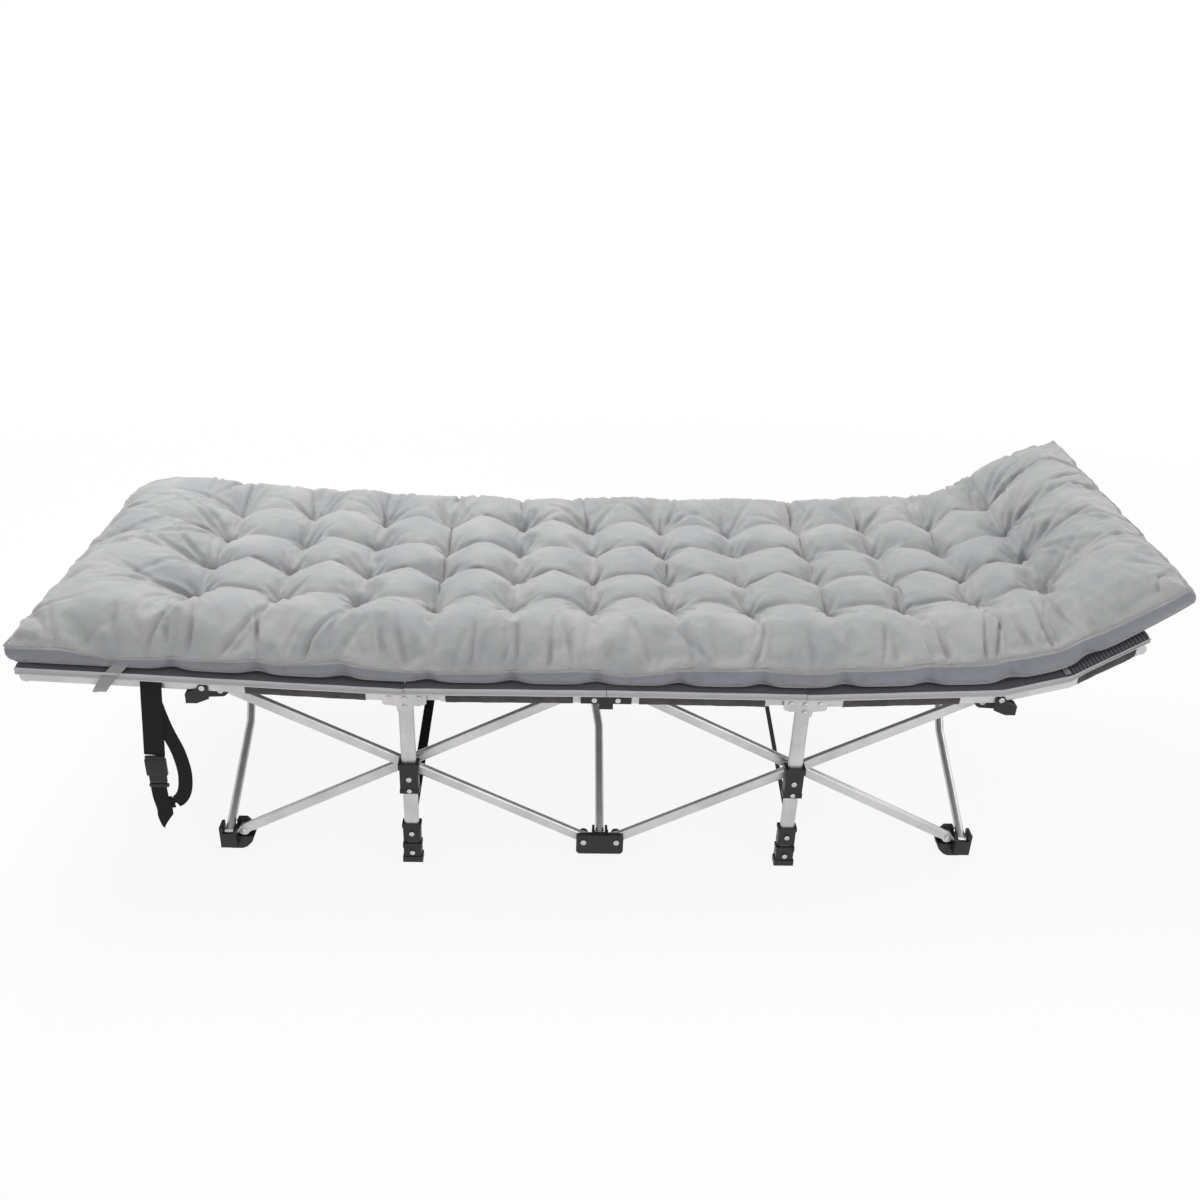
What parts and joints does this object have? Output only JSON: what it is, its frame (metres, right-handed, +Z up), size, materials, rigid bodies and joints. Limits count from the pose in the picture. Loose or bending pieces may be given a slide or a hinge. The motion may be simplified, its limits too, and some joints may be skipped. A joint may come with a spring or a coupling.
{
  "type": "folding cot",
  "caption": "Folding camp cot: crossed flat-tube side frames, crossing tubes, sliding legs, hinged rails, mesh deck with raised head end, and a thick tufted mattress.",
  "frame": {"origin": "on the floor, midway between the side frames, below the centre of the middle blocks", "axes": "+X towards the raised head end, +Y towards the far side, +Z up"},
  "size_m": [1.975, 0.7183, 0.5909],
  "materials": {
    "silver_tube": "satin silver powder coat on flat oval tube",
    "black_plastic": "matt black moulded plastic",
    "deck_fabric": "dark grey mesh with light grey bound edge",
    "plush_fabric": "light grey short-pile plush, tufted",
    "webbing": "black woven webbing"
  },
  "bodies": {
    "base_mid_near": {"base_mid_near": "black_plastic"},
    "arm_foot_front_near": {"arm_foot_front_near": "silver_tube"},
    "arm_foot_rear_near": {"arm_foot_rear_near": "silver_tube"},
    "top_foot_near": {"top_foot_near": "black_plastic"},
    "base_foot_near": {"base_foot_near": "black_plastic"},
    "collar_foot_near": {"collar_foot_near": "black_plastic"},
    "leg_foot_near": {"leg_foot_near": "silver_tube", "saddle_foot_near": "black_plastic", "boots_foot_near": "black_plastic", "cross_strap_foot": "webbing"},
    "top_mid_near": {"top_mid_near": "black_plastic"},
    "rail_foot_near": {"rail_foot_near": "silver_tube", "deck_foot": "deck_fabric"},
    "rail_midfoot_near": {"rail_midfoot_near": "silver_tube", "deck_midfoot": "deck_fabric"},
    "arm_head_front_near": {"arm_head_front_near": "silver_tube"},
    "arm_head_rear_near": {"arm_head_rear_near": "silver_tube"},
    "top_head_near": {"top_head_near": "black_plastic"},
    "base_head_near": {"base_head_near": "black_plastic"},
    "collar_head_near": {"collar_head_near": "black_plastic"},
    "leg_head_near": {"leg_head_near": "silver_tube", "saddle_head_near": "black_plastic", "boots_head_near": "black_plastic", "cross_strap_head": "webbing"},
    "rail_head_near": {"rail_head_near": "silver_tube", "deck_head": "deck_fabric"},
    "rail_midhead_near": {"rail_midhead_near": "silver_tube", "deck_midhead": "deck_fabric"},
    "arm_foot_front_far": {"arm_foot_front_far": "silver_tube"},
    "arm_foot_rear_far": {"arm_foot_rear_far": "silver_tube"},
    "top_foot_far": {"top_foot_far": "black_plastic"},
    "base_foot_far": {"base_foot_far": "black_plastic"},
    "collar_foot_far": {"collar_foot_far": "black_plastic"},
    "leg_foot_far": {"leg_foot_far": "silver_tube", "saddle_foot_far": "black_plastic", "boots_foot_far": "black_plastic"},
    "cross_mid_a": {"cross_mid_a": "silver_tube"},
    "top_mid_far": {"top_mid_far": "black_plastic"},
    "base_mid_far": {"base_mid_far": "black_plastic"},
    "rail_foot_far": {"rail_foot_far": "silver_tube"},
    "rail_midfoot_far": {"rail_midfoot_far": "silver_tube"},
    "arm_head_front_far": {"arm_head_front_far": "silver_tube"},
    "arm_head_rear_far": {"arm_head_rear_far": "silver_tube"},
    "top_head_far": {"top_head_far": "black_plastic"},
    "base_head_far": {"base_head_far": "black_plastic"},
    "collar_head_far": {"collar_head_far": "black_plastic"},
    "leg_head_far": {"leg_head_far": "silver_tube", "saddle_head_far": "black_plastic", "boots_head_far": "black_plastic"},
    "rail_head_far": {"rail_head_far": "silver_tube"},
    "rail_midhead_far": {"rail_midhead_far": "silver_tube"},
    "cross_foot_a": {"cross_foot_a": "silver_tube"},
    "cross_foot_b": {"cross_foot_b": "silver_tube"},
    "cross_head_a": {"cross_head_a": "silver_tube"},
    "cross_head_b": {"cross_head_b": "silver_tube"},
    "cross_mid_b": {"cross_mid_b": "silver_tube"},
    "carry_strap": {"carry_strap": "webbing", "strap_buckle": "black_plastic"},
    "mattress": {"mattress": "plush_fabric", "corner_bands": "plush_fabric"}
  },
  "joints": [
    {"name": "fold", "type": "hinge", "parent": "base_mid_near", "child": "arm_foot_front_near", "pos_m": [-0.03, -0.31, 0.04], "axis": [0, 1, 0], "range_deg": [0, 57], "deforming": ["deck_foot", "deck_midfoot", "deck_midhead", "deck_head", "corner_bands", "cross_strap_foot", "cross_strap_head"]},
    {"name": "arm_foot_rear_near_turn", "type": "hinge", "parent": "arm_foot_front_near", "child": "arm_foot_rear_near", "pos_m": [-0.34, -0.31, 0.198], "axis": [0, 1, 0], "range_deg": [-114, 0]},
    {"name": "collar_foot_near_turn", "type": "hinge", "parent": "arm_foot_front_near", "child": "collar_foot_near", "pos_m": [-0.34, -0.31, 0.198], "axis": [0, 1, 0], "range_deg": [-57, 0]},
    {"name": "base_foot_near_turn", "type": "hinge", "parent": "arm_foot_rear_near", "child": "base_foot_near", "pos_m": [-0.65, -0.31, 0.04], "axis": [0, 1, 0], "range_deg": [0, 57]},
    {"name": "top_mid_near_turn", "type": "hinge", "parent": "arm_foot_rear_near", "child": "top_mid_near", "pos_m": [-0.03, -0.31, 0.356], "axis": [0, 1, 0], "range_deg": [0, 57]},
    {"name": "top_foot_near_turn", "type": "hinge", "parent": "arm_foot_front_near", "child": "top_foot_near", "pos_m": [-0.65, -0.31, 0.356], "axis": [0, 1, 0], "range_deg": [-57, 0]},
    {"name": "leg_foot_near_slide", "type": "slide", "parent": "collar_foot_near", "child": "leg_foot_near", "axis": [0, 0, -1], "range_m": [0, 0.10425]},
    {"name": "rail_foot_near_turn", "type": "hinge", "parent": "top_foot_near", "child": "rail_foot_near", "pos_m": [-0.674, -0.31, 0.372], "axis": [0, 1, 0], "range_deg": [0, 80.66]},
    {"name": "rail_midfoot_near_turn", "type": "hinge", "parent": "top_mid_near", "child": "rail_midfoot_near", "pos_m": [-0.02, -0.31, 0.359], "axis": [0, 1, 0], "range_deg": [-85.47, 0]},
    {"name": "arm_head_front_near_turn", "type": "hinge", "parent": "base_mid_near", "child": "arm_head_front_near", "pos_m": [0.03, -0.31, 0.04], "axis": [0, 1, 0], "range_deg": [-57, 0]},
    {"name": "arm_head_rear_near_turn", "type": "hinge", "parent": "arm_head_front_near", "child": "arm_head_rear_near", "pos_m": [0.34, -0.31, 0.198], "axis": [0, 1, 0], "range_deg": [0, 114]},
    {"name": "collar_head_near_turn", "type": "hinge", "parent": "arm_head_front_near", "child": "collar_head_near", "pos_m": [0.34, -0.31, 0.198], "axis": [0, 1, 0], "range_deg": [0, 57]},
    {"name": "base_head_near_turn", "type": "hinge", "parent": "arm_head_rear_near", "child": "base_head_near", "pos_m": [0.65, -0.31, 0.04], "axis": [0, 1, 0], "range_deg": [-57, 0]},
    {"name": "top_head_near_turn", "type": "hinge", "parent": "arm_head_front_near", "child": "top_head_near", "pos_m": [0.65, -0.31, 0.356], "axis": [0, 1, 0], "range_deg": [0, 57]},
    {"name": "leg_head_near_slide", "type": "slide", "parent": "collar_head_near", "child": "leg_head_near", "axis": [0, 0, -1], "range_m": [0, 0.10425]},
    {"name": "rail_head_near_turn", "type": "hinge", "parent": "top_head_near", "child": "rail_head_near", "pos_m": [0.674, -0.31, 0.372], "axis": [0, 1, 0], "range_deg": [-80.66, 0]},
    {"name": "rail_midhead_near_turn", "type": "hinge", "parent": "top_mid_near", "child": "rail_midhead_near", "pos_m": [0.02, -0.31, 0.359], "axis": [0, 1, 0], "range_deg": [0, 85.47]},
    {"name": "cross_mid_a_turn", "type": "hinge", "parent": "base_mid_near", "child": "cross_mid_a", "pos_m": [0, -0.31, 0.04], "axis": [1, 0, 0], "range_deg": [0, 57]},
    {"name": "top_mid_far_turn", "type": "hinge", "parent": "cross_mid_a", "child": "top_mid_far", "pos_m": [0, 0.31, 0.356], "axis": [1, 0, 0], "range_deg": [-57, 0]},
    {"name": "arm_foot_rear_far_turn", "type": "hinge", "parent": "top_mid_far", "child": "arm_foot_rear_far", "pos_m": [-0.03, 0.31, 0.356], "axis": [0, 1, 0], "range_deg": [-57, 0]},
    {"name": "arm_foot_front_far_turn", "type": "hinge", "parent": "arm_foot_rear_far", "child": "arm_foot_front_far", "pos_m": [-0.34, 0.31, 0.198], "axis": [0, 1, 0], "range_deg": [0, 114]},
    {"name": "collar_foot_far_turn", "type": "hinge", "parent": "arm_foot_rear_far", "child": "collar_foot_far", "pos_m": [-0.34, 0.31, 0.198], "axis": [0, 1, 0], "range_deg": [0, 57]},
    {"name": "base_foot_far_turn", "type": "hinge", "parent": "arm_foot_rear_far", "child": "base_foot_far", "pos_m": [-0.65, 0.31, 0.04], "axis": [0, 1, 0], "range_deg": [0, 57]},
    {"name": "base_mid_far_turn", "type": "hinge", "parent": "arm_foot_front_far", "child": "base_mid_far", "pos_m": [-0.03, 0.31, 0.04], "axis": [0, 1, 0], "range_deg": [-57, 0]},
    {"name": "top_foot_far_turn", "type": "hinge", "parent": "arm_foot_front_far", "child": "top_foot_far", "pos_m": [-0.65, 0.31, 0.356], "axis": [0, 1, 0], "range_deg": [-57, 0]},
    {"name": "leg_foot_far_slide", "type": "slide", "parent": "collar_foot_far", "child": "leg_foot_far", "axis": [0, 0, -1], "range_m": [0, 0.10425]},
    {"name": "rail_foot_far_turn", "type": "hinge", "parent": "top_foot_far", "child": "rail_foot_far", "pos_m": [-0.674, 0.31, 0.372], "axis": [0, 1, 0], "range_deg": [0, 80.66]},
    {"name": "rail_midfoot_far_turn", "type": "hinge", "parent": "top_mid_far", "child": "rail_midfoot_far", "pos_m": [-0.02, 0.31, 0.359], "axis": [0, 1, 0], "range_deg": [-85.47, 0]},
    {"name": "arm_head_rear_far_turn", "type": "hinge", "parent": "top_mid_far", "child": "arm_head_rear_far", "pos_m": [0.03, 0.31, 0.356], "axis": [0, 1, 0], "range_deg": [0, 57]},
    {"name": "arm_head_front_far_turn", "type": "hinge", "parent": "arm_head_rear_far", "child": "arm_head_front_far", "pos_m": [0.34, 0.31, 0.198], "axis": [0, 1, 0], "range_deg": [-114, 0]},
    {"name": "collar_head_far_turn", "type": "hinge", "parent": "arm_head_rear_far", "child": "collar_head_far", "pos_m": [0.34, 0.31, 0.198], "axis": [0, 1, 0], "range_deg": [-57, 0]},
    {"name": "base_head_far_turn", "type": "hinge", "parent": "arm_head_rear_far", "child": "base_head_far", "pos_m": [0.65, 0.31, 0.04], "axis": [0, 1, 0], "range_deg": [-57, 0]},
    {"name": "top_head_far_turn", "type": "hinge", "parent": "arm_head_front_far", "child": "top_head_far", "pos_m": [0.65, 0.31, 0.356], "axis": [0, 1, 0], "range_deg": [0, 57]},
    {"name": "leg_head_far_slide", "type": "slide", "parent": "collar_head_far", "child": "leg_head_far", "axis": [0, 0, -1], "range_m": [0, 0.10425]},
    {"name": "rail_head_far_turn", "type": "hinge", "parent": "top_head_far", "child": "rail_head_far", "pos_m": [0.674, 0.31, 0.372], "axis": [0, 1, 0], "range_deg": [-80.66, 0]},
    {"name": "rail_midhead_far_turn", "type": "hinge", "parent": "top_mid_far", "child": "rail_midhead_far", "pos_m": [0.02, 0.31, 0.359], "axis": [0, 1, 0], "range_deg": [0, 85.47]},
    {"name": "cross_foot_a_turn", "type": "hinge", "parent": "base_foot_near", "child": "cross_foot_a", "pos_m": [-0.675, -0.31, 0.04], "axis": [1, 0, 0], "range_deg": [0, 57]},
    {"name": "cross_foot_b_turn", "type": "hinge", "parent": "top_foot_near", "child": "cross_foot_b", "pos_m": [-0.675, -0.31, 0.356], "axis": [1, 0, 0], "range_deg": [-57, 0]},
    {"name": "cross_head_a_turn", "type": "hinge", "parent": "base_head_near", "child": "cross_head_a", "pos_m": [0.675, -0.31, 0.04], "axis": [1, 0, 0], "range_deg": [0, 57]},
    {"name": "cross_head_b_turn", "type": "hinge", "parent": "top_head_near", "child": "cross_head_b", "pos_m": [0.675, -0.31, 0.356], "axis": [1, 0, 0], "range_deg": [-57, 0]},
    {"name": "cross_mid_b_turn", "type": "hinge", "parent": "top_mid_near", "child": "cross_mid_b", "pos_m": [0, -0.31, 0.356], "axis": [1, 0, 0], "range_deg": [-57, 0]},
    {"name": "carry_strap_swing", "type": "hinge", "parent": "rail_foot_near", "child": "carry_strap", "pos_m": [-0.772, -0.356, 0.376], "axis": [0, 1, 0], "range_deg": [-80.66, 0]},
    {"name": "mattress_lift", "type": "slide", "parent": "top_mid_near", "child": "mattress", "axis": [0, 0, 1], "range_m": [0, 0.65659]}
  ],
  "couplings": [
    {"joint": "arm_foot_rear_near_turn", "follows": "fold", "ratio": -2},
    {"joint": "collar_foot_near_turn", "follows": "fold", "ratio": -1},
    {"joint": "base_foot_near_turn", "follows": "fold", "ratio": 1},
    {"joint": "top_mid_near_turn", "follows": "fold", "ratio": 1},
    {"joint": "top_foot_near_turn", "follows": "fold", "ratio": -1},
    {"joint": "leg_foot_near_slide", "follows": "fold", "m_per_rad": 0.10479},
    {"joint": "rail_foot_near_turn", "follows": "fold", "ratio": 1.4151},
    {"joint": "rail_midfoot_near_turn", "follows": "fold", "ratio": -1.4994},
    {"joint": "arm_head_front_near_turn", "follows": "fold", "ratio": -1},
    {"joint": "arm_head_rear_near_turn", "follows": "fold", "ratio": 2},
    {"joint": "collar_head_near_turn", "follows": "fold", "ratio": 1},
    {"joint": "base_head_near_turn", "follows": "fold", "ratio": -1},
    {"joint": "top_head_near_turn", "follows": "fold", "ratio": 1},
    {"joint": "leg_head_near_slide", "follows": "fold", "m_per_rad": 0.10479},
    {"joint": "rail_head_near_turn", "follows": "fold", "ratio": -1.4151},
    {"joint": "rail_midhead_near_turn", "follows": "fold", "ratio": 1.4994},
    {"joint": "cross_mid_a_turn", "follows": "fold", "ratio": 1},
    {"joint": "top_mid_far_turn", "follows": "fold", "ratio": -1},
    {"joint": "arm_foot_rear_far_turn", "follows": "fold", "ratio": -1},
    {"joint": "arm_foot_front_far_turn", "follows": "fold", "ratio": 2},
    {"joint": "collar_foot_far_turn", "follows": "fold", "ratio": 1},
    {"joint": "base_foot_far_turn", "follows": "fold", "ratio": 1},
    {"joint": "base_mid_far_turn", "follows": "fold", "ratio": -1},
    {"joint": "top_foot_far_turn", "follows": "fold", "ratio": -1},
    {"joint": "leg_foot_far_slide", "follows": "fold", "m_per_rad": 0.10479},
    {"joint": "rail_foot_far_turn", "follows": "fold", "ratio": 1.4151},
    {"joint": "rail_midfoot_far_turn", "follows": "fold", "ratio": -1.4994},
    {"joint": "arm_head_rear_far_turn", "follows": "fold", "ratio": 1},
    {"joint": "arm_head_front_far_turn", "follows": "fold", "ratio": -2},
    {"joint": "collar_head_far_turn", "follows": "fold", "ratio": -1},
    {"joint": "base_head_far_turn", "follows": "fold", "ratio": -1},
    {"joint": "top_head_far_turn", "follows": "fold", "ratio": 1},
    {"joint": "leg_head_far_slide", "follows": "fold", "m_per_rad": 0.10479},
    {"joint": "rail_head_far_turn", "follows": "fold", "ratio": -1.4151},
    {"joint": "rail_midhead_far_turn", "follows": "fold", "ratio": 1.4994},
    {"joint": "cross_foot_a_turn", "follows": "fold", "ratio": 1},
    {"joint": "cross_foot_b_turn", "follows": "fold", "ratio": -1},
    {"joint": "cross_head_a_turn", "follows": "fold", "ratio": 1},
    {"joint": "cross_head_b_turn", "follows": "fold", "ratio": -1},
    {"joint": "cross_mid_b_turn", "follows": "fold", "ratio": -1},
    {"joint": "carry_strap_swing", "follows": "fold", "ratio": -1.4151},
    {"joint": "mattress_lift", "follows": "fold", "m_per_rad": 0.66}
  ]
}
